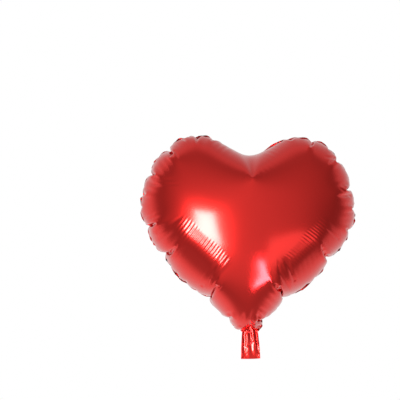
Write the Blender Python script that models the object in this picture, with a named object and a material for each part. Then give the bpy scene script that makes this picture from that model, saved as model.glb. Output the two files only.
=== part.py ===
"""Heart-shaped foil balloon, filled, with its flat tail hanging down and the self-sealing valve inside.

Metres, +Z up, the front faces -Y. The origin is the crease where the tail meets the body, which is
where a ribbon is tied and where the tail folds. Each film is drawn thicker than the real one.
"""
import math

import bmesh
import bpy
from mathutils import Vector

MM = 0.001

# Body: half of the heart's outer edge, from the mouth's right corner up and round to the cleft.
# Each knot is x, z, heading in degrees, and the curve's reach behind and ahead of the knot.
EDGE_KNOTS = (
    (16.0, 2.6, 42.0, 0.0, 26.0),
    (103.0, 75.0, 40.0, 28.0, 30.0),
    (179.5, 216.0, 90.0, 80.0, 44.0),
    (88.0, 332.0, 180.0, 60.0, 38.0),
    (0.0, 304.5, 200.0, 32.0, 0.0),
)
EDGE_POINTS = 36            # points along that half
WELD_WIDTH = 4.0 * MM       # flat welded band around the body
HALF_DEPTH = 102.0 * MM     # how far each panel bulges
BULGE_POWER = 2.5           # higher is flatter in the middle and rounder at the rim
CENTRE = (0.0, 168.0 * MM)  # the panels' highest point
CROWN_RADIUS = 150.0 * MM   # towards its centre the bulge loses the heart's outline and turns round
RING_FRACTIONS = (0.985, 0.955, 0.91, 0.85, 0.775, 0.685, 0.58, 0.46, 0.33, 0.17)

# Films
WALL = 0.5 * MM             # drawn thickness of the foil
VALVE_WALL = 0.4 * MM       # drawn thickness of the clear valve film
HALF_GAP = 0.15 * MM        # from the middle plane to the first face on each side
CHANNEL_LIFT = 0.85 * MM    # foil's height over the valve films in the tail

# Mouth, where the tail opens into the body: x and height at its lower edge, then at the weld line
MOUTH_EDGE_Z = 2.6 * MM
MOUTH_WELD_Z = 6.6 * MM
LIFT_FADE = 45.0            # how fast the mouth's extra height dies out up the bulge
MOUTH_STATIONS = (
    (16.0, 0.15, 12.7, 0.15),
    (12.2, 0.15, 12.0, 0.60),
    (11.2, 0.85, 11.0, 2.20),
    (5.6, 0.85, 5.5, 3.00),
)

# Tail
TAIL_HALF_WIDTH = 16.0 * MM
CHANNEL_HALF_WIDTH = 11.2 * MM
RAMP_WIDTH = 1.0 * MM
TAIL_TOP_Z = -1.5 * MM
TAIL_END_Z = -51.0 * MM

# Valve: two clear strips from the tail up into the body
VALVE_HALF_WIDTH = 10.5 * MM
VALVE_TAIL_END_Z = -38.0 * MM
VALVE_LEAF_TOP_Z = 72.0 * MM
VALVE_CORNER = 4.0 * MM
CORNER_STEPS = 4

SHARP_ANGLE = 35.0          # degrees: edges that turn more than this are shaded as edges

FRONT = -1.0
BACK = 1.0


def remove_everything():
    for obj in list(bpy.data.objects):
        bpy.data.objects.remove(obj)


def foil_material():
    mat = bpy.data.materials.new("red_foil")
    mat.use_nodes = True
    shader = mat.node_tree.nodes["Principled BSDF"]
    shader.inputs["Base Color"].default_value = (0.60, 0.025, 0.02, 1.0)
    shader.inputs["Metallic"].default_value = 0.9
    shader.inputs["Roughness"].default_value = 0.25
    return mat


def valve_material():
    mat = bpy.data.materials.new("clear_film")
    mat.use_nodes = True
    shader = mat.node_tree.nodes["Principled BSDF"]
    shader.inputs["Base Color"].default_value = (0.86, 0.88, 0.90, 1.0)
    shader.inputs["Metallic"].default_value = 0.0
    shader.inputs["Roughness"].default_value = 0.30
    shader.inputs["Alpha"].default_value = 0.5
    return mat


def curve_point(a, b, t):
    """Point at t on the cubic between two knots, in millimetres."""
    ahead = math.radians(a[2])
    behind = math.radians(b[2])
    handles = (
        (a[0], a[1]),
        (a[0] + math.cos(ahead) * a[4], a[1] + math.sin(ahead) * a[4]),
        (b[0] - math.cos(behind) * b[3], b[1] - math.sin(behind) * b[3]),
        (b[0], b[1]),
    )
    weights = ((1 - t) ** 3, 3 * (1 - t) ** 2 * t, 3 * (1 - t) * t * t, t ** 3)
    return Vector(sum(w * h[k] for w, h in zip(weights, handles)) for k in range(2))


def half_edge():
    """Evenly spaced points of the outer edge, from the mouth's right corner to the cleft."""
    fine = 60
    dense = [curve_point(a, b, k / fine) for a, b in zip(EDGE_KNOTS, EDGE_KNOTS[1:]) for k in range(fine)]
    dense.append(Vector(EDGE_KNOTS[-1][:2]))
    run = [0.0]
    for p, q in zip(dense, dense[1:]):
        run.append(run[-1] + (q - p).length)
    points = []
    seg = 0
    for k in range(EDGE_POINTS + 1):
        want = run[-1] * k / EDGE_POINTS
        while run[seg + 1] < want and seg < len(run) - 2:
            seg += 1
        t = (want - run[seg]) / (run[seg + 1] - run[seg])
        points.append(dense[seg].lerp(dense[seg + 1], t) * MM)
    return points


def outer_and_weld():
    """The body's outer edge and its weld line: matching closed loops of (x, z, height)."""
    right = half_edge()
    loop = right + [Vector((-p.x, p.y)) for p in reversed(right[:-1])]
    outer = []
    weld = []
    for k, point in enumerate(loop):
        before = loop[max(k - 1, 0)]
        after = loop[min(k + 1, len(loop) - 1)]
        along = (after - before).normalized()
        inward = Vector((-along.y, along.x))
        inset = point + inward * WELD_WIDTH
        outer.append((point.x, point.y, HALF_GAP))
        weld.append((inset.x, inset.y, HALF_GAP))
    # the two loops' ends are the mouth's corners
    x_out, lift_out, x_in, lift_in = (v * MM for v in MOUTH_STATIONS[0])
    outer[0], outer[-1] = (x_out, MOUTH_EDGE_Z, lift_out), (-x_out, MOUTH_EDGE_Z, lift_out)
    weld[0], weld[-1] = (x_in, MOUTH_WELD_Z, lift_in), (-x_in, MOUTH_WELD_Z, lift_in)
    inner = [tuple(v * MM for v in row) for row in MOUTH_STATIONS[1:]]
    middle = [(0.0, inner[-1][1], 0.0, inner[-1][3])]
    left = [(-row[0], row[1], -row[2], row[3]) for row in inner]
    for x_out, lift_out, x_in, lift_in in left + middle + inner[::-1]:
        outer.append((x_out, MOUTH_EDGE_Z, lift_out))
        weld.append((x_in, MOUTH_WELD_Z, lift_in))
    return outer, weld


def link_mesh(name, bm, mat):
    """Turn a bmesh into a named object with its material."""
    mesh = bpy.data.meshes.new(name)
    bm.to_mesh(mesh)
    bm.free()
    mesh.shade_smooth()
    mesh.set_sharp_from_angle(angle=math.radians(SHARP_ANGLE))
    mesh.materials.append(mat)
    obj = bpy.data.objects.new(name, mesh)
    bpy.context.collection.objects.link(obj)
    return obj


def panel(name, side, mat):
    """One foil panel: welded band, then rings that climb to the panel's highest point."""
    outer, weld = outer_and_weld()
    bm = bmesh.new()
    rings = [[bm.verts.new((x, side * h, z)) for x, z, h in loop] for loop in (outer, weld)]
    for fraction in RING_FRACTIONS:
        bulge = HALF_DEPTH * math.sqrt(1.0 - fraction ** BULGE_POWER)
        ring = []
        for x, z, height in weld:
            spoke = Vector((x - CENTRE[0], z - CENTRE[1]))
            spoke = spoke.lerp(spoke.normalized() * CROWN_RADIUS, 1.0 - fraction) * fraction
            y = side * (HALF_GAP + (height - HALF_GAP) * fraction ** LIFT_FADE + bulge)
            ring.append(bm.verts.new((CENTRE[0] + spoke.x, y, CENTRE[1] + spoke.y)))
        rings.append(ring)
    top = bm.verts.new((CENTRE[0], side * (HALF_GAP + HALF_DEPTH), CENTRE[1]))
    count = len(outer)
    for below, above in zip(rings, rings[1:]):
        for k in range(count):
            n = (k + 1) % count
            bm.faces.new((below[k], below[n], above[n], above[k]))
    for k in range(count):
        bm.faces.new((rings[-1][k], rings[-1][(k + 1) % count], top))
    if side == BACK:
        bmesh.ops.reverse_faces(bm, faces=bm.faces)
    obj = link_mesh(name, bm, mat)
    wall = obj.modifiers.new("wall", "SOLIDIFY")
    wall.thickness = WALL
    wall.offset = 1.0
    wall.use_even_offset = True
    return obj


def prism(name, corners, offset, mat):
    """A flat outline of 3-D corners, drawn out by the offset."""
    bm = bmesh.new()
    base = bm.faces.new([bm.verts.new(corner) for corner in corners])
    grown = bmesh.ops.extrude_face_region(bm, geom=[base])
    moved = [item for item in grown["geom"] if isinstance(item, bmesh.types.BMVert)]
    bmesh.ops.translate(bm, verts=moved, vec=offset)
    bmesh.ops.recalc_face_normals(bm, faces=bm.faces)
    return link_mesh(name, bm, mat)


def tail_film(name, side, mat):
    """One foil of the tail: welded at its two edges, lifted over the valve between them."""
    ramp = CHANNEL_HALF_WIDTH + RAMP_WIDTH
    shift = WALL * 0.5
    under = ((TAIL_HALF_WIDTH, HALF_GAP), (ramp, HALF_GAP), (CHANNEL_HALF_WIDTH, CHANNEL_LIFT))
    over = (
        (TAIL_HALF_WIDTH, HALF_GAP + WALL),
        (ramp + shift, HALF_GAP + WALL),
        (CHANNEL_HALF_WIDTH + shift, CHANNEL_LIFT + WALL),
    )
    section = [(-x, y) for x, y in under] + [(x, y) for x, y in reversed(under)]
    section += [(x, y) for x, y in over] + [(-x, y) for x, y in reversed(over)]
    corners = [(x, side * y, TAIL_END_Z) for x, y in section]
    return prism(name, corners, (0.0, 0.0, TAIL_TOP_Z - TAIL_END_Z), mat)


def valve_strip(name, side, low_z, high_z, corner, mat):
    """One clear strip of the valve, just off the middle plane, its top corners rounded."""
    steps = CORNER_STEPS if corner > 0.0 else 0
    right = [(VALVE_HALF_WIDTH, low_z)]
    for k in range(steps + 1):
        turn = math.pi / 2 * k / max(steps, 1)
        x = VALVE_HALF_WIDTH - corner * (1.0 - math.cos(turn))
        right.append((x, high_z - corner * (1.0 - math.sin(turn))))
    outline = right + [(-x, z) for x, z in reversed(right)]
    corners = [(x, side * HALF_GAP, z) for x, z in outline]
    return prism(name, corners, (0.0, side * VALVE_WALL, 0.0), mat)


def main():
    remove_everything()
    foil = foil_material()
    clear = valve_material()
    for word, side in (("front", FRONT), ("back", BACK)):
        panel(word + "_panel", side, foil)
        tail_film("tail_" + word, side, foil)
        valve_strip("valve_tail_" + word, side, VALVE_TAIL_END_Z, TAIL_TOP_Z, 0.0, clear)
        valve_strip("valve_leaf_" + word, side, MOUTH_EDGE_Z, VALVE_LEAF_TOP_Z, VALVE_CORNER, clear)


main()
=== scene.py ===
"""Heart-shaped foil balloon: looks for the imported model.

The four films are made from their flat cuts. The two foils are welded along the rim, filled with
gas by a small inextensible-film solver, and left with the puckers that this gives them.
"""
import math

import bpy
import numpy as np
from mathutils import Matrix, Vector
from mathutils.bvhtree import BVHTree
from mathutils.geometry import barycentric_transform, delaunay_2d_cdt

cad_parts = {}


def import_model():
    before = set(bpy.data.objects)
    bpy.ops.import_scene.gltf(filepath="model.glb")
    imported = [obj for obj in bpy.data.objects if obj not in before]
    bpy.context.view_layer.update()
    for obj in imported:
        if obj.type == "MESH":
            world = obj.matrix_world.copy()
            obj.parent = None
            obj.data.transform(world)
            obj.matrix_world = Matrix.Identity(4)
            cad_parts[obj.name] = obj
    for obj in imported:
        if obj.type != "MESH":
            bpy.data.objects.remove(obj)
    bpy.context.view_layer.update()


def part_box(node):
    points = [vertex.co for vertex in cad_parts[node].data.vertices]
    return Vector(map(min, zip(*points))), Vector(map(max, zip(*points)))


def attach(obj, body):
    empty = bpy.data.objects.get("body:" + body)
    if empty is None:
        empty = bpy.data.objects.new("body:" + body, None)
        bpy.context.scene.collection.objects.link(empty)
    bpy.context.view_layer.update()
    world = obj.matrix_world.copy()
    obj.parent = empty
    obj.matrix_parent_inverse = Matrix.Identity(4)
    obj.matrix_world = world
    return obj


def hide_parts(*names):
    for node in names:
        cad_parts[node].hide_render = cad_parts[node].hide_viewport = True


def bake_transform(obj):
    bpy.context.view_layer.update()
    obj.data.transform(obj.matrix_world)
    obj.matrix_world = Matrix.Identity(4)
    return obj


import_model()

MM = 0.001

# --- The flat cut of the foil, in millimetres, the crease of the tail at z = 0 ---------------------
# Right half of the weld line from the tail's end, round the heart, to the cleft:
# x, z, heading in degrees, the curve's reach behind and ahead of the knot.
TAIL_HALF = 11.3
TAIL_LENGTH = 51.0
WELD = 5.0
SEAM_KNOTS = (
    (TAIL_HALF, -TAIL_LENGTH, 90, 0, 10),
    (TAIL_HALF, -10.0, 90, 10, 12),
    (29.0, 8.0, 29, 12, 151),
    (222.0, 250, 90, 71, 86),
    (84.0, 412.0, 180, 80, 28),
    (0, 402, 186, 52, 0),
)
FIRST_SPACING = 11.6        # of the first, coarse lattice; each later level halves it
CURVE_STEPS = 160
LATTICE_MARGIN = 0.6        # clear of the weld line, in spacings
EVENING_PASSES = 6
PROUD = 0.09                # of a new point when edges are halved, per pull of its neighbours
SEED = 3


# --- Film mesh ------------------------------------------------------------------------------------
def curve(a, b):
    t = np.linspace(0, 1, CURVE_STEPS, endpoint=False)[:, None]
    ahead, behind = math.radians(a[2]), math.radians(b[2])
    p0, p3 = np.array(a[:2], float), np.array(b[:2], float)
    p1 = p0 + np.array([math.cos(ahead), math.sin(ahead)]) * a[4]
    p2 = p3 - np.array([math.cos(behind), math.sin(behind)]) * b[3]
    return (1 - t) ** 3 * p0 + 3 * (1 - t) ** 2 * t * p1 + 3 * (1 - t) * t * t * p2 + t ** 3 * p3


def half_seam():
    parts = [curve(a, b) for a, b in zip(SEAM_KNOTS, SEAM_KNOTS[1:])]
    return np.concatenate(parts + [np.array([SEAM_KNOTS[-1][:2]], float)])


def run_length(points):
    return np.concatenate([[0], np.cumsum(np.hypot(*np.diff(points, axis=0).T))])


def evenly(points, count):
    run = run_length(points)
    want = np.linspace(0, run[-1], count)
    return np.stack([np.interp(want, run, points[:, 0]), np.interp(want, run, points[:, 1])], 1)


def edges_of(tri):
    edge = np.concatenate([tri[:, [0, 1]], tri[:, [1, 2]], tri[:, [2, 0]]])
    edge.sort(axis=1)
    return np.unique(edge, axis=0)


def neighbour_table(edge, count):
    """For each point its neighbours' numbers and equal weights, padded to the same length."""
    both = np.concatenate([edge, edge[:, ::-1]])
    both = both[np.argsort(both[:, 0], kind="stable")]
    degree = np.bincount(both[:, 0], minlength=count)
    first = np.concatenate([[0], np.cumsum(degree)[:-1]])
    place = np.arange(len(both)) - first[both[:, 0]]
    index = np.zeros((count, degree.max()), int)
    weight = np.zeros((count, degree.max()))
    index[both[:, 0], place] = both[:, 1]
    weight[both[:, 0], place] = 1.0 / degree[both[:, 0]]
    return index, weight


def independent_sets(edge, count):
    """Edges in groups in which no two share a point, so that a group is solved in one go."""
    used = [0] * count
    group = np.zeros(len(edge), int)
    for k, (a, b) in enumerate(edge.tolist()):
        taken = used[a] | used[b]
        g = 0
        while taken >> g & 1:
            g += 1
        group[k] = g
        used[a] |= 1 << g
        used[b] |= 1 << g
    return [np.flatnonzero(group == g) for g in range(group.max() + 1)]


def lattice(loop, spacing):
    """Points of an even triangular lattice that lie inside the loop and clear of it."""
    low, high = loop.min(0), loop.max(0)
    rise = spacing * math.sqrt(3) / 2
    rows = []
    for k in range(int((high[1] - low[1]) / rise) + 1):
        reach = int(high[0] / spacing) + 2
        xs = (np.arange(-reach, reach + 1) + 0.5 * (k % 2)) * spacing
        rows.append(np.stack([xs, np.full(len(xs), low[1] + (k + LATTICE_MARGIN) * rise)], 1))
    points = np.concatenate(rows)
    a, b = loop, np.roll(loop, -1, 0)
    kept = []
    for p in np.array_split(points, max(1, len(points) // 4000)):
        crosses = (a[None, :, 1] > p[:, None, 1]) != (b[None, :, 1] > p[:, None, 1])
        slope = (b[:, 0] - a[:, 0]) / (b[:, 1] - a[:, 1] + 1e-12)
        at = slope[None] * (p[:, None, 1] - a[None, :, 1]) + a[None, :, 0]
        inside = ((p[:, None, 0] < at) & crosses).sum(1) % 2 == 1
        near = np.sqrt(((p[:, None] - a[None]) ** 2).sum(-1)).min(1)
        kept.append(p[inside & (near > LATTICE_MARGIN * spacing)])
    return np.concatenate(kept)


class Foils:
    """Both foils over one list of points: those on the weld are shared, all others come in pairs.

    flat holds every point's place on the flat cut, in metres. seam and outer are the inner and the
    outer line of the weld. front, back and weld_strip are triangles.
    """

    def __init__(self, spacing):
        half = half_seam()
        right = evenly(half, int(round(run_length(half)[-1] / spacing)) + 1)
        left = (right * [-1, 1])[::-1]
        seam = np.concatenate([right, left[1:]])
        hem_cells = max(2, int(round(2 * right[0, 0] / spacing)))
        hem_x = np.linspace(-right[0, 0], right[0, 0], hem_cells + 1)[1:-1]
        hem = np.stack([hem_x, np.full(len(hem_x), right[0, 1])], 1)
        loop = np.concatenate([seam, hem])
        welded, rim = len(seam), len(loop)
        points = np.concatenate([loop, lattice(loop, spacing)])
        made = delaunay_2d_cdt([Vector(p) for p in points], [], [list(range(rim))], 1, 1e-6)
        front = np.array(made[2])
        flat = np.array([v[:] for v in made[0]])
        flat[:rim] = loop
        index, weight = neighbour_table(edges_of(front), len(flat))
        for _ in range(EVENING_PASSES):
            mean = (flat[index] * weight[..., None]).sum(1)
            flat[rim:] += 0.5 * (mean - flat)[rim:]
        along = np.gradient(seam, axis=0)
        along /= np.hypot(*along.T)[:, None]
        cut_edge = seam + np.stack([along[:, 1], -along[:, 0]], 1) * WELD
        cut_edge[0], cut_edge[-1] = seam[0] + [WELD, 0], seam[-1] - [WELD, 0]
        count = len(flat)
        i = np.arange(welded - 1)
        o = count + i
        self.weld_strip = np.concatenate([np.stack([i, o, o + 1], 1), np.stack([i, o + 1, i + 1], 1)])
        back = front.copy()
        back[front >= welded] += count
        self.front, self.back = front, back[:, ::-1].copy()
        self.seam, self.outer = np.arange(welded), count + np.arange(welded)
        self.flat = np.concatenate([flat, cut_edge, flat[welded:]]) * MM
        self.pair = np.stack([np.arange(welded, count), np.arange(welded, count) + count], 1)
        self.prepare(True)

    def prepare(self, to_solve):
        count = len(self.flat)
        self.edge = edges_of(np.concatenate([self.front, self.back, self.weld_strip]))
        self.rest = np.hypot(*(self.flat[self.edge[:, 0]] - self.flat[self.edge[:, 1]]).T)
        self.index, self.weight = neighbour_table(self.edge, count)
        self.welded = np.zeros(count, bool)
        self.welded[self.seam] = True
        self.welded[self.outer] = True
        if to_solve:
            sets = independent_sets(self.edge, count)
            self.sets = [(self.edge[s, 0], self.edge[s, 1], self.rest[s]) for s in sets]

    def pull(self, x):
        """From each point to the mean of its neighbours."""
        return (x[self.index] * self.weight[..., None]).sum(1) - x

    def refine(self, x, to_solve=True):
        """Halve every edge; the new points stand a little proud, so that curves stay round."""
        count = len(self.flat)
        edge = self.edge
        key = edge[:, 0] * count + edge[:, 1]

        def middle(a, b):
            return count + np.searchsorted(key, np.minimum(a, b) * count + np.maximum(a, b))

        def split(tri):
            a, b, c = tri.T
            ab, bc, ca = middle(a, b), middle(b, c), middle(c, a)
            corners = ((a, ab, ca), (ab, b, bc), (ca, bc, c), (ab, bc, ca))
            return np.concatenate([np.stack(three, 1) for three in corners])

        bulge = self.pull(x)
        bulge[self.welded] = 0
        new = 0.5 * (x[edge[:, 0]] + x[edge[:, 1]]) - PROUD * (bulge[edge[:, 0]] + bulge[edge[:, 1]])
        new_flat = 0.5 * (self.flat[edge[:, 0]] + self.flat[edge[:, 1]])
        partner = np.arange(count)
        partner[self.pair[:, 0]] = self.pair[:, 1]
        on_front = edges_of(self.front)
        here = middle(on_front[:, 0], on_front[:, 1])
        there = middle(partner[on_front[:, 0]], partner[on_front[:, 1]])
        apart = here != there
        self.seam, self.outer = (
            np.append(np.stack([line[:-1], middle(line[:-1], line[1:])], 1).ravel(), line[-1])
            for line in (self.seam, self.outer)
        )
        self.front, self.back = split(self.front), split(self.back)
        self.weld_strip = split(self.weld_strip)
        self.flat = np.concatenate([self.flat, new_flat])
        self.pair = np.concatenate([self.pair, np.stack([here[apart], there[apart]], 1)])
        self.prepare(to_solve)
        return np.concatenate([x, new])


# --- Filling --------------------------------------------------------------------------------------
# For each stage: steps, rounds of edge solving in a step, push of the gas and strength of the pinches
# in millimetres a step, stiffness of the film, grip of the tail's guide, and whether all edges are
# halved first.
STAGES = (
    {"steps": 80, "rounds": 8, "push": 0.20, "pinch": 1.0, "stiff": 0.12, "grip": 0.12, "halve": False},
    {"steps": 40, "rounds": 16, "push": 0.06, "pinch": 0.5, "stiff": 0.12, "grip": 0.12, "halve": False},
    {"steps": 60, "rounds": 14, "push": 0.04, "pinch": 0.15, "stiff": 0.12, "grip": 0.10, "halve": True},
    {"steps": 60, "rounds": 14, "push": 0.02, "pinch": 0.0, "stiff": 0.08, "grip": 0.10, "halve": False},
    {"steps": 60, "rounds": 12, "push": 0.01, "pinch": 0.0, "stiff": 0.05, "grip": 0.06, "halve": True},
)
SPEED_KEPT = 0.9            # from one step to the next
NORMAL_SCALE = 2.6          # divides the summed face normals, with the squared spacing
WELD_STIFFNESS = 0.3        # share of the films' stiffness
FIRST_GAP = 0.1             # of each film from the middle before filling, in millimetres
FIRST_UNEVENNESS = 0.3
TAIL_GAP = 0.45             # at least, of each film from the middle in the filled tail
TAIL_FROM = -3.0 * MM       # below this the films are the tail, which holds no gas
GAS_RAMP = 60.0 * MM        # above it the push of the gas grows to its full value over this height
CLEFT_REACH = (18.0 * MM, 50.0 * MM)        # sideways and downwards
CLEFT_PASSES = 120
GUIDE_TOP = 12.0            # level at which the tail's guide starts, and the height over which it grows
GUIDE_FADE = 16.0
TIE_REACH = 4.0             # above and below the crease of the tail
TAIL_FILMS_TOP = 8.0        # level up to which the films stay parted by the tail's gap
HEM_WAVE = 1.3              # up and down of the tail's cut end, and its run per radian
HEM_RADIAN = 2.9
FOLD_PITCH = 11.0           # of the upright folds in the gathered tail
FOLD_LEAN = 0.05            # sideways, per length
# By level: height of the folds, and the tail's width as a share of its flat width
TAIL_FOLDS = ((-51, 0.25), (-36, 0.45), (-24, 0.8), (-13, 1.2), (0, 1.4), (8, 1.2), (16, 0.4))
TAIL_GATHER = ((-51, 1.0), (-36, 0.97), (-24, 0.90), (-13, 0.85), (0, 0.78), (8, 0.74))
TAIL_LEAN = 0.09            # forwards, per length
TAIL_DROP = 0.985           # the folded tail's length, as a share of its flat length
CRUMPLES = ((10.0, 0.18), (6.5, 0.07))      # pitch and height of the finer waves
CRUMPLE_SEED = 10
CRUMPLE_TURN = 0.9          # either way from sideways, in radians
# Where the weld is drawn inwards: distance along it from the cleft, positive on the left side,
# and how strongly.
PINCHES = (
    (552, 0.27), (473, 0.12), (427, 0.12), (359, 0.12), (292, 0.15),
    (-187, 0.15), (-304, 0.15), (-397, 0.12), (-558, 0.27),
)
PINCH_WIDTH = 7.0


def smooth_step(t):
    t = np.clip(t, 0, 1)
    return t * t * (3 - 2 * t)


def tail_wave(flat):
    """Depth of the folds and crumples of the tail at each point of the flat cut."""
    across, level = flat[:, 0] / MM, flat[:, 1] / MM
    levels, heights = np.array(TAIL_FOLDS).T
    lean = FOLD_LEAN * level
    folds = np.interp(level, levels, heights) * np.cos(2 * math.pi * (across + lean) / FOLD_PITCH)
    rng = np.random.default_rng(CRUMPLE_SEED)
    fine = np.zeros(len(flat))
    for pitch, height in CRUMPLES:
        for _ in range(2):
            turn, phase = rng.uniform(-CRUMPLE_TURN, CRUMPLE_TURN), rng.uniform(0, 2 * math.pi)
            run = across * math.cos(turn) + level * math.sin(turn)
            fine += height * np.sin(2 * math.pi * run / pitch + phase)
    toward_hem = np.clip((-14 - level) / 14, 0.35, 1)
    return (folds + fine * toward_hem) * MM


def tail_guide(foils, grip):
    """Keeps the tail hanging straight down under the tie, gathered into folds, and the cleft central."""
    level = foils.flat[:, 1] / MM
    share = smooth_step((GUIDE_TOP - level) / GUIDE_FADE)
    near_tie = np.abs(level) < TIE_REACH
    gather = np.interp(level, *np.array(TAIL_GATHER).T)
    lean = TAIL_LEAN * np.minimum(foils.flat[:, 1], 0)
    wave = tail_wave(foils.flat)
    side = np.zeros(len(level))
    side[foils.pair[:, 0]], side[foils.pair[:, 1]] = -0.5 * MM, 0.5 * MM
    ripple = np.cos(foils.flat[:, 0] / (HEM_RADIAN * MM) + 0.4)
    hem = HEM_WAVE * MM * smooth_step((-30 - level) / 20) * ripple
    cleft = foils.seam[len(foils.seam) // 2]

    def guide(x):
        tie = x[near_tie].mean(0)
        target = np.stack([
            foils.flat[:, 0] * gather,
            tie[1] + wave + side + lean,
            tie[2] + foils.flat[:, 1] * TAIL_DROP + hem,
        ], 1)
        x = x + (target - x) * (grip * share)[:, None]
        x[cleft, 0] = tie[0]
        return x

    return guide


def pinch_force(foils):
    """How far each point of the weld is drawn inwards in one step."""
    weld = foils.flat[foils.seam]
    run = run_length(weld) / MM
    run -= run[-1] / 2
    along = np.gradient(weld, axis=0)
    along /= np.hypot(*along.T)[:, None]
    inward = np.stack([-along[:, 1], np.zeros(len(run)), along[:, 0]], 1)
    force = np.zeros((len(foils.flat), 3))
    for at, strength in PINCHES:
        near = np.exp(-((run - at) / PINCH_WIDTH) ** 2)[:, None] * strength * MM
        force[foils.seam] += near * inward
        force[foils.outer] += near * inward
    return force


def fill(foils, x, stage):
    """Lets the gas push the films out, while every edge keeps its flat length."""
    guide = tail_guide(foils, stage["grip"])
    force = stage["pinch"] * pinch_force(foils)
    push = stage["push"] * MM
    tri = np.concatenate([foils.front, foils.back])
    count = len(x)
    unit = np.median(foils.rest) ** 2 * NORMAL_SCALE
    gas = smooth_step((foils.flat[:, 1] - TAIL_FROM) / GAS_RAMP) * ~foils.welded
    ahead, behind = foils.pair.T
    speed = np.zeros_like(x)
    for _ in range(stage["steps"]):
        before = x.copy()
        a, b, c = x[tri[:, 0]], x[tri[:, 1]], x[tri[:, 2]]
        face = np.cross(b - a, c - a) / unit
        normal = np.zeros_like(x)
        for corner in range(3):
            for axis in range(3):
                normal[:, axis] += np.bincount(tri[:, corner], face[:, axis], count)
        x = guide(x + speed * SPEED_KEPT + normal * (push * gas)[:, None] + force)
        for _ in range(stage["rounds"]):
            for ia, ib, rest in foils.sets:
                pa, pb = x[ia], x[ib]
                gap = pb - pa
                length = np.sqrt(gap[:, 0] ** 2 + gap[:, 1] ** 2 + gap[:, 2] ** 2)
                gap *= (0.5 * (1 - rest / np.maximum(length, 1e-9)))[:, None]
                x[ia] = pa + gap
                x[ib] = pb - gap
            crossed = x[ahead, 1] > x[behind, 1]
            mean = 0.5 * (x[ahead[crossed], 1] + x[behind[crossed], 1])
            x[ahead[crossed], 1] = mean
            x[behind[crossed], 1] = mean
        bend = foils.pull(foils.pull(x))
        x = x - stage["stiff"] * np.where(foils.welded[:, None], WELD_STIFFNESS * bend, bend)
        speed = x - before
    return x


def soften_cleft(foils, x):
    """Rounds, sideways only, the upright fold that the two lobes press into the film between them."""
    top = foils.flat[foils.seam[len(foils.seam) // 2]]
    near = np.exp(-(((foils.flat - top) / CLEFT_REACH) ** 2).sum(1))[:, None]
    step = foils.flat[foils.index] - foils.flat[:, None]
    sideways = (foils.weight > 0) * step[..., 0] ** 2 / np.maximum((step ** 2).sum(-1), 1e-12)
    sideways = (sideways / sideways.sum(1, keepdims=True))[..., None]
    for _ in range(CLEFT_PASSES):
        x = x + 0.5 * near * ((x[foils.index] * sideways).sum(1) - x)
    return x


def part_tail_films(foils, x):
    """Leaves room between the foils of the tail for the valve films."""
    ahead, behind = foils.pair[foils.flat[foils.pair[:, 0], 1] < TAIL_FILMS_TOP * MM].T
    middle = 0.5 * (x[ahead, 1] + x[behind, 1])
    half = np.maximum(0.5 * (x[behind, 1] - x[ahead, 1]), TAIL_GAP * MM)
    x[ahead, 1], x[behind, 1] = middle - half, middle + half


def filled_foils():
    """The foils and where their points lie once filled, the crease of the tail at the origin."""
    foils = Foils(FIRST_SPACING)
    rng = np.random.default_rng(SEED)
    x = np.zeros((len(foils.flat), 3))
    x[:, 0], x[:, 2] = foils.flat[:, 0], foils.flat[:, 1]
    x[foils.pair[:, 0], 1], x[foils.pair[:, 1], 1] = -FIRST_GAP * MM, FIRST_GAP * MM
    x[:, 1] += rng.normal(0, FIRST_UNEVENNESS * MM, len(x))
    for stage in STAGES:
        if stage["halve"]:
            x = foils.refine(x)
        x = fill(foils, x, stage)
    x = soften_cleft(foils, x)
    x = foils.refine(x, False)
    x -= x[np.abs(foils.flat[:, 1]) < TIE_REACH * MM].mean(0)
    part_tail_films(foils, x)
    return foils, x


# --- Finer shape ----------------------------------------------------------------------------------
# Soft folds along which the face turns down to the two lower edges, each crossed by fine ribs.
# In millimetres: x and z of the fold's ends, its lift and half width, the ribs' pitch and height,
# and how far they reach inside and outside of the fold.
FOLDS = (
    {"start": (-121, 180), "end": (-43, 104), "lift": 2.4, "width": 14.0,
     "pitch": 5.5, "rib": 0.28, "inside": 26.0, "outside": 15.0},
    {"start": (64, 106), "end": (135, 175), "lift": 1.9, "width": 14.0,
     "pitch": 5.0, "rib": 0.22, "inside": 25.0, "outside": 11.0},
)
# Creases: x and z of the outer and of the inner end, depth and half width.
CREASES = (
    (-78, 78, -40, 138, 1.3, 2.4),
    (-62, 92, -33, 130, 0.6, 1.8),
    (72, 84, 52, 125, 1.3, 2.2),
    (67, 96, 58, 127, 0.5, 1.6),
    (46, 100, 42, 122, 0.5, 1.4),
    (147, 149, 118, 175, 0.7, 1.8),
    (171, 219, 145, 236, 0.6, 1.6),
    (172, 226, 150, 240, 0.4, 1.4),
    (151, 282, 125, 285, 0.8, 1.8),
    (-166, 254, -113, 250, 0.8, 2.4),
    (-150, 246, -108, 244, 0.5, 1.8),
    (-172, 192, -150, 200, 0.8, 1.6),
    (-150, 166, -104, 194, 0.7, 2.0),
    (-131, 324, -107, 305, 0.7, 1.8),
    (104, 330, 106, 303, 0.6, 1.6),
    (0, -2, 3, 44, 2.2, 3.6),
    (-17, 9, -10, 36, 1.3, 2.6),
    (12, 6, 13, 40, 1.2, 2.4),
    (22, 12, 34, 34, 0.8, 2.4),
    (-30, 18, -36, 34, 0.8, 2.2),
    (15, -28, 6, -16, 0.9, 1.3),
    (-13, -47, -3, -40, 0.6, 0.9),
    (-12, -39, -4, -35, 0.5, 0.8),
)
DEEPEST = 0.2               # share of the distance to the other film that a crease may take
CREASE_ROUND = 0.4          # at the bottom of the valley
SHOULDER = 0.25             # height of a crease's shoulders, and where they are, in half widths
SHOULDER_PLACE = 2.2


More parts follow.
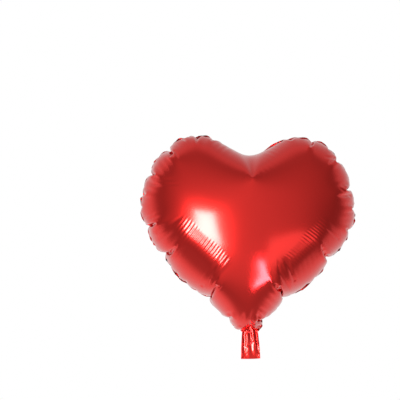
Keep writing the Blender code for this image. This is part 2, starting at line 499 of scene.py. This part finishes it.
def along_line(place, start, end):
    """Share of the way from start to end, distance to the right of the line, and its length."""
    start, end = np.array(start, float), np.array(end, float)
    length = float(np.hypot(*(end - start)))
    way = (end - start) / length
    off = place - start
    return off @ way / length, off @ np.array([way[1], -way[0]]), length


def fold_lift(place, fold):
    """Height of a soft fold, with the ribs that cross it wandering a little."""
    share, aside, length = along_line(place, fold["start"], fold["end"])
    taper = np.clip(1.05 - np.abs(2 * share - 1) ** 4, 0, 1)
    lift = fold["lift"] * np.exp(-(aside / fold["width"]) ** 2) * taper
    run = share * length - 0.1 * aside + 0.6 * np.sin(share * 17.0) + 0.3 * np.sin(aside / 6.0)
    reach = fold["outside"] * (0.82 + 0.18 * np.sin(run * 0.83 + 1.0))
    window = smooth_step(2.5 * (1 + aside / fold["inside"]))
    window = window * smooth_step((reach - aside) / (1.5 * reach))
    return lift + fold["rib"] * window * taper * np.cos(2 * math.pi * run / fold["pitch"])


def crease_depth(place, crease):
    """Height of a sharp valley between two low shoulders, fading out at its inner end."""
    outer, inner, depth, width = crease[:2], crease[2:4], crease[4], crease[5]
    share, aside, length = along_line(place, outer, inner)
    taper = smooth_step((1 - share) * 2.2) * smooth_step(1 + share * length / 4)
    valley = np.exp(-np.sqrt(aside ** 2 + CREASE_ROUND) / width)
    shoulder = np.exp(-((np.abs(aside) - SHOULDER_PLACE * width) / width) ** 2)
    return depth * taper * (SHOULDER * shoulder - valley)


def add_detail(x, normal, gap, mirror):
    """Folds, ribs and creases on one film; the back film carries them mirrored."""
    place = x[:, [0, 2]] / MM * [mirror, 1]
    height = sum(fold_lift(place, fold) for fold in FOLDS)
    height = height + sum(crease_depth(place, crease) for crease in CREASES)
    return x + normal * np.maximum(height * MM, -DEEPEST * gap)[:, None]


def normals_of(tri, x):
    face = np.cross(x[tri[:, 1]] - x[tri[:, 0]], x[tri[:, 2]] - x[tri[:, 0]])
    normal = np.zeros_like(x)
    for corner in range(3):
        for axis in range(3):
            normal[:, axis] += np.bincount(tri[:, corner], face[:, axis], len(x))
    return normal / np.maximum(np.linalg.norm(normal, axis=1), 1e-12)[:, None]


# --- Pieces ---------------------------------------------------------------------------------------
# In millimetres, except where said.
SEAM_SKIN = 0.06            # by which each film's own copy of the weld stands off the other's
VALVE_HALF_WIDTH = 9.3
VALVE_LIFT = 0.10           # of each valve film from the middle between the foils
VALVE_TAIL_TOP = 3.6        # level at which the tail's part of a valve film ends
VALVE_LEAF_FOOT = 4.2       # and at which the leaf starts
VALVE_SPACING = 0.75        # of the points over the strips
LEAF_FREE = 14.0            # height over its foot from which a leaf is straight
LEAF_DEPTH = 0.35           # of a straight leaf from the middle, and its slight wave
LEAF_WAVE = 0.1


def mesh_object(name, x, tri, material):
    used, index = np.unique(tri, return_inverse=True)
    mesh = bpy.data.meshes.new(name)
    mesh.from_pydata(x[used].tolist(), [], index.reshape(-1, 3).tolist())
    mesh.shade_smooth()
    mesh.materials.append(material)
    obj = bpy.data.objects.new(name, mesh)
    bpy.context.collection.objects.link(obj)
    return obj


def build_foils(foils, x, material):
    gap = np.zeros(len(x))
    between = np.linalg.norm(x[foils.pair[:, 0]] - x[foils.pair[:, 1]], axis=1)
    gap[foils.pair[:, 0]] = gap[foils.pair[:, 1]] = between
    for word, tri, strip, mirror in (
        ("front", foils.front, foils.weld_strip, 1),
        ("back", foils.back, foils.weld_strip[:, ::-1], -1),
    ):
        film = np.concatenate([tri, strip])
        normal = normals_of(film, x)
        shaped = add_detail(x, normal, gap, mirror)
        shaped[foils.welded] += normal[foils.welded] * SEAM_SKIN * MM
        obj = mesh_object("foil_" + word, shaped, film, material)
        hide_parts(word + "_panel", "tail_" + word)
        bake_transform(obj)


def between_foils(foils, x, place):
    """Points midway between the foils that lie over the given places of the flat cut."""
    middle = x.copy()
    middle[foils.pair[:, 0]] = 0.5 * (x[foils.pair[:, 0]] + x[foils.pair[:, 1]])
    corners = [Vector((p[0], p[1], 0)) for p in foils.flat]
    tree = BVHTree.FromPolygons(corners, foils.front.tolist())
    out = []
    for p in place:
        spot, _, face, _ = tree.find_nearest(Vector((p[0], p[1], 0)))
        a, b, c = foils.front[face]
        flat_three = corners[a], corners[b], corners[c]
        out.append(barycentric_transform(spot, *flat_three, *(Vector(middle[k]) for k in (a, b, c)))[:])
    return np.array(out)


def strip_grid(low, high):
    """Places over an upright strip of valve film, in metres, and the triangles between them."""
    columns = int(2 * VALVE_HALF_WIDTH / VALVE_SPACING) + 1
    rows = int((high - low) / VALVE_SPACING) + 1
    across = np.linspace(-VALVE_HALF_WIDTH, VALVE_HALF_WIDTH, columns)
    u, v = np.meshgrid(across, np.linspace(low, high, rows))
    k = np.arange(rows * columns).reshape(rows, columns)
    a, b, c, d = (q.ravel() for q in (k[:-1, :-1], k[:-1, 1:], k[1:, 1:], k[1:, :-1]))
    tri = np.concatenate([np.stack([a, b, c], 1), np.stack([a, c, d], 1)])
    return np.stack([u.ravel(), v.ravel()], 1) * MM, tri


def build_valve_tail(foils, x, material, word, side):
    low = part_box("valve_tail_" + word)[0][2] / MM
    place, tri = strip_grid(low, VALVE_TAIL_TOP)
    sheet = between_foils(foils, x, place) + [0, side * VALVE_LIFT * MM, 0]
    obj = mesh_object("valve_tail_film_" + word, sheet, tri, material)
    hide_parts("valve_tail_" + word)
    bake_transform(obj)


def build_valve_leaf(foils, x, material, word, side):
    """Gathered with the foils at its foot, straight above it."""
    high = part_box("valve_leaf_" + word)[1][2] / MM
    place, tri = strip_grid(VALVE_LEAF_FOOT, high)
    free = smooth_step((place[:, 1] / MM - VALVE_LEAF_FOOT) / LEAF_FREE)
    wave = LEAF_WAVE * np.sin(place[:, 1] / (5 * MM)) * np.cos(place[:, 0] / (6 * MM))
    depth = LEAF_DEPTH + wave
    hanging = np.stack([place[:, 0], side * depth * MM, place[:, 1]], 1)
    gathered = between_foils(foils, x, place) + [0, side * VALVE_LIFT * MM, 0]
    gathered[:, 2] = place[:, 1]
    sheet = gathered + (hanging - gathered) * free[:, None]
    obj = mesh_object("valve_leaf_film_" + word, sheet, tri, material)
    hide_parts("valve_leaf_" + word)
    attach(obj, "leaf_" + word)


# --- Materials ------------------------------------------------------------------------------------
BUMP_DISTANCE = 0.3 * MM


def new_material(name):
    mat = bpy.data.materials.new(name)
    mat.use_nodes = True
    return mat, mat.node_tree.nodes, mat.node_tree.links, mat.node_tree.nodes["Principled BSDF"]


def drifting_tint(nodes, links, shader, scale, first, second):
    """Base colour drifting between two near ones; gives back the noise behind it."""
    noise = nodes.new("ShaderNodeTexNoise")
    noise.inputs["Scale"].default_value = scale
    tint = nodes.new("ShaderNodeMix")
    tint.data_type = "RGBA"
    tint.inputs["A"].default_value = (*first, 1.0)
    tint.inputs["B"].default_value = (*second, 1.0)
    links.new(noise.outputs["Fac"], tint.inputs["Factor"])
    links.new(tint.outputs["Result"], shader.inputs["Base Color"])
    return noise


def fine_bump(nodes, links, shader, noise, strength):
    bump = nodes.new("ShaderNodeBump")
    bump.inputs["Strength"].default_value = strength
    bump.inputs["Distance"].default_value = BUMP_DISTANCE
    links.new(noise.outputs["Fac"], bump.inputs["Height"])
    links.new(bump.outputs["Normal"], shader.inputs["Normal"])


def foil_material():
    """Metallised film under a clear coat, its gloss slightly uneven."""
    mat, nodes, links, shader = new_material("red_foil_film")
    shader.inputs["Metallic"].default_value = 1.0
    shader.inputs["Coat Weight"].default_value = 0.5
    shader.inputs["Coat Roughness"].default_value = 0.16
    shader.inputs["Coat IOR"].default_value = 1.5
    coords = nodes.new("ShaderNodeTexCoord")
    cloud = drifting_tint(nodes, links, shader, 9.0, (0.68, 0.012, 0.008), (0.74, 0.016, 0.010))
    cloud.inputs["Detail"].default_value = 3.0
    links.new(coords.outputs["Object"], cloud.inputs["Vector"])
    dull = nodes.new("ShaderNodeMapRange")
    dull.inputs["To Min"].default_value = 0.18
    dull.inputs["To Max"].default_value = 0.24
    links.new(cloud.outputs["Fac"], dull.inputs["Value"])
    links.new(dull.outputs["Result"], shader.inputs["Roughness"])
    grain = nodes.new("ShaderNodeTexNoise")
    grain.inputs["Scale"].default_value = 260.0
    grain.inputs["Detail"].default_value = 2.0
    links.new(coords.outputs["Object"], grain.inputs["Vector"])
    fine_bump(nodes, links, shader, grain, 0.06)
    return mat


def valve_material():
    """Clear, slightly milky film."""
    mat, nodes, links, shader = new_material("clear_valve_film")
    shader.inputs["Roughness"].default_value = 0.25
    shader.inputs["Alpha"].default_value = 0.45
    coords = nodes.new("ShaderNodeTexCoord")
    cloud = drifting_tint(nodes, links, shader, 60.0, (0.78, 0.80, 0.83), (0.92, 0.93, 0.95))
    links.new(coords.outputs["Object"], cloud.inputs["Vector"])
    fine_bump(nodes, links, shader, cloud, 0.2)
    return mat


# --- Stage ----------------------------------------------------------------------------------------
CAMERA_DISTANCE = 1.87
CAMERA_PLACE = (-0.0788, -CAMERA_DISTANCE, 0.218)
CAMERA_ROLL = 1.3
LENS = 100.0
SENSOR_WIDTH = 36.0
FLOOR_Z = -0.45
FLOOR_RADIUS = 1.5
FLOOR_SIDES = 96


def camera():
    data = bpy.data.cameras.new("camera")
    data.lens = LENS
    data.sensor_width = SENSOR_WIDTH
    obj = bpy.data.objects.new("camera", data)
    obj.location = CAMERA_PLACE
    obj.rotation_euler = (math.radians(90), math.radians(CAMERA_ROLL), 0)
    bpy.context.collection.objects.link(obj)
    bpy.context.scene.camera = obj


def softbox(name, place, aim, size, power, color):
    data = bpy.data.lights.new(name, "AREA")
    data.shape = "RECTANGLE"
    data.size, data.size_y = size
    data.energy = power
    data.color = color
    obj = bpy.data.objects.new(name, data)
    obj.location = place
    obj.rotation_euler = (Vector(aim) - Vector(place)).to_track_quat("-Z", "Y").to_euler()
    bpy.context.collection.objects.link(obj)


def floor():
    mesh = bpy.data.meshes.new("floor")
    turn = np.linspace(0, 2 * math.pi, FLOOR_SIDES, endpoint=False)
    ring = [(FLOOR_RADIUS * math.cos(a), FLOOR_RADIUS * math.sin(a), FLOOR_Z) for a in turn]
    mesh.from_pydata(ring, [], [list(range(len(ring)))])
    obj = bpy.data.objects.new("floor", mesh)
    obj.visible_glossy = False
    bpy.context.collection.objects.link(obj)
    mat, nodes, links, shader = new_material("pale_floor")
    shader.inputs["Roughness"].default_value = 0.8
    drifting_tint(nodes, links, shader, 30.0, (0.90, 0.90, 0.90), (0.94, 0.94, 0.94))
    mesh.materials.append(mat)


# Brightness of the studio by the angle away from the camera's side, in degrees.
STUDIO = (
    (0, 0.80), (20, 0.80), (38, 0.68), (55, 0.46), (72, 0.32), (84, 0.35), (92, 0.62), (102, 0.86),
    (118, 0.88), (140, 0.80),
)
BRIGHTER_LEFT = 0.15
BRIGHTER_BELOW = 0.25       # behind the balloon
BRIGHTER_ABOVE_AND_BELOW = 0.50     # in front of it
BEHIND_SHARPNESS = 1.6      # of the change from in front to behind


def maths(nodes, links, operation, *values):
    node = nodes.new("ShaderNodeMath")
    node.operation = operation
    for socket, value in zip(node.inputs, values):
        if isinstance(value, (int, float)):
            socket.default_value = value
        else:
            links.new(value, socket)
    return node.outputs["Value"]


def world():
    """White behind the balloon, a dim ring at its sides and a softly lit room in front."""
    made = bpy.data.worlds.new("studio")
    made.use_nodes = True
    nodes, links = made.node_tree.nodes, made.node_tree.links
    coords = nodes.new("ShaderNodeTexCoord")
    split = nodes.new("ShaderNodeSeparateXYZ")
    links.new(coords.outputs["Generated"], split.inputs["Vector"])
    toward_camera = maths(nodes, links, "MULTIPLY", split.outputs["Y"], -1.0)
    angle = maths(nodes, links, "ARCCOSINE", toward_camera)
    ramp = nodes.new("ShaderNodeValToRGB")
    links.new(maths(nodes, links, "DIVIDE", angle, math.pi), ramp.inputs["Fac"])
    stops = ramp.color_ramp.elements
    while len(stops) < len(STUDIO):
        stops.new(0.5)
    for stop, (degrees, value) in zip(stops, STUDIO):
        stop.position = degrees / 180
        stop.color = (value, value, value, 1)
    level = maths(nodes, links, "MULTIPLY_ADD", split.outputs["X"], -BRIGHTER_LEFT, 1.0)
    behind = maths(nodes, links, "MULTIPLY_ADD", split.outputs["Y"], BEHIND_SHARPNESS, 0.5)
    behind.node.use_clamp = True
    height = maths(nodes, links, "MULTIPLY", split.outputs["Z"], behind)
    level = maths(nodes, links, "MULTIPLY_ADD", height, -BRIGHTER_BELOW, level)
    ahead = maths(nodes, links, "SUBTRACT", 1.0, behind)
    steep = maths(nodes, links, "MULTIPLY", split.outputs["Z"], split.outputs["Z"])
    steep = maths(nodes, links, "MULTIPLY", steep, ahead)
    level = maths(nodes, links, "MULTIPLY_ADD", steep, BRIGHTER_ABOVE_AND_BELOW, level)
    strength = nodes.new("ShaderNodeMix")
    strength.inputs["B"].default_value = 1.0
    path = nodes.new("ShaderNodeLightPath")
    links.new(path.outputs["Is Camera Ray"], strength.inputs["Factor"])
    links.new(level, strength.inputs["A"])
    seen = nodes.new("ShaderNodeMix")
    seen.data_type = "RGBA"
    seen.inputs["B"].default_value = (1.0, 1.0, 1.0, 1.0)
    links.new(path.outputs["Is Camera Ray"], seen.inputs["Factor"])
    links.new(ramp.outputs["Color"], seen.inputs["A"])
    links.new(seen.outputs["Result"], nodes["Background"].inputs["Color"])
    links.new(strength.outputs["Result"], nodes["Background"].inputs["Strength"])
    bpy.context.scene.world = made


# Softboxes: the spot of the balloon they light, the direction to them as degrees to the right and
# upwards of the camera's side, their distance, width, height, power and colour.
SOFTBOXES = (
    ("key", (-0.066, -0.09, 0.17), (-28, -2), 2.2, 0.55, 0.95, 60.0, (1.0, 0.93, 0.98)),
    ("low", (0.025, -0.08, 0.10), (10, -36), 1.8, 0.22, 1.0, 16.0, (1.0, 0.70, 0.98)),
    ("low_right", (0.090, -0.08, 0.15), (30, -17), 1.9, 1.0, 0.6, 1.6, (1.0, 0.95, 0.95)),
)


def lights():
    for name, spot, (right, up), distance, width, height, power, color in SOFTBOXES:
        tilt, turn = math.radians(math.hypot(right, up)), math.atan2(up, right)
        sideways, upwards = math.sin(tilt) * math.cos(turn), math.sin(tilt) * math.sin(turn)
        place = Vector(spot) + Vector((sideways, -math.cos(tilt), upwards)) * distance
        softbox(name, place, spot, (width, height), power, color)


def main():
    camera()
    world()
    lights()
    floor()
    bpy.context.scene.view_settings.view_transform = "Standard"
    foils, x = filled_foils()
    build_foils(foils, x, foil_material())
    valve = valve_material()
    for word, side in (("front", -1), ("back", 1)):
        build_valve_tail(foils, x, valve, word, side)
        build_valve_leaf(foils, x, valve, word, side)


main()
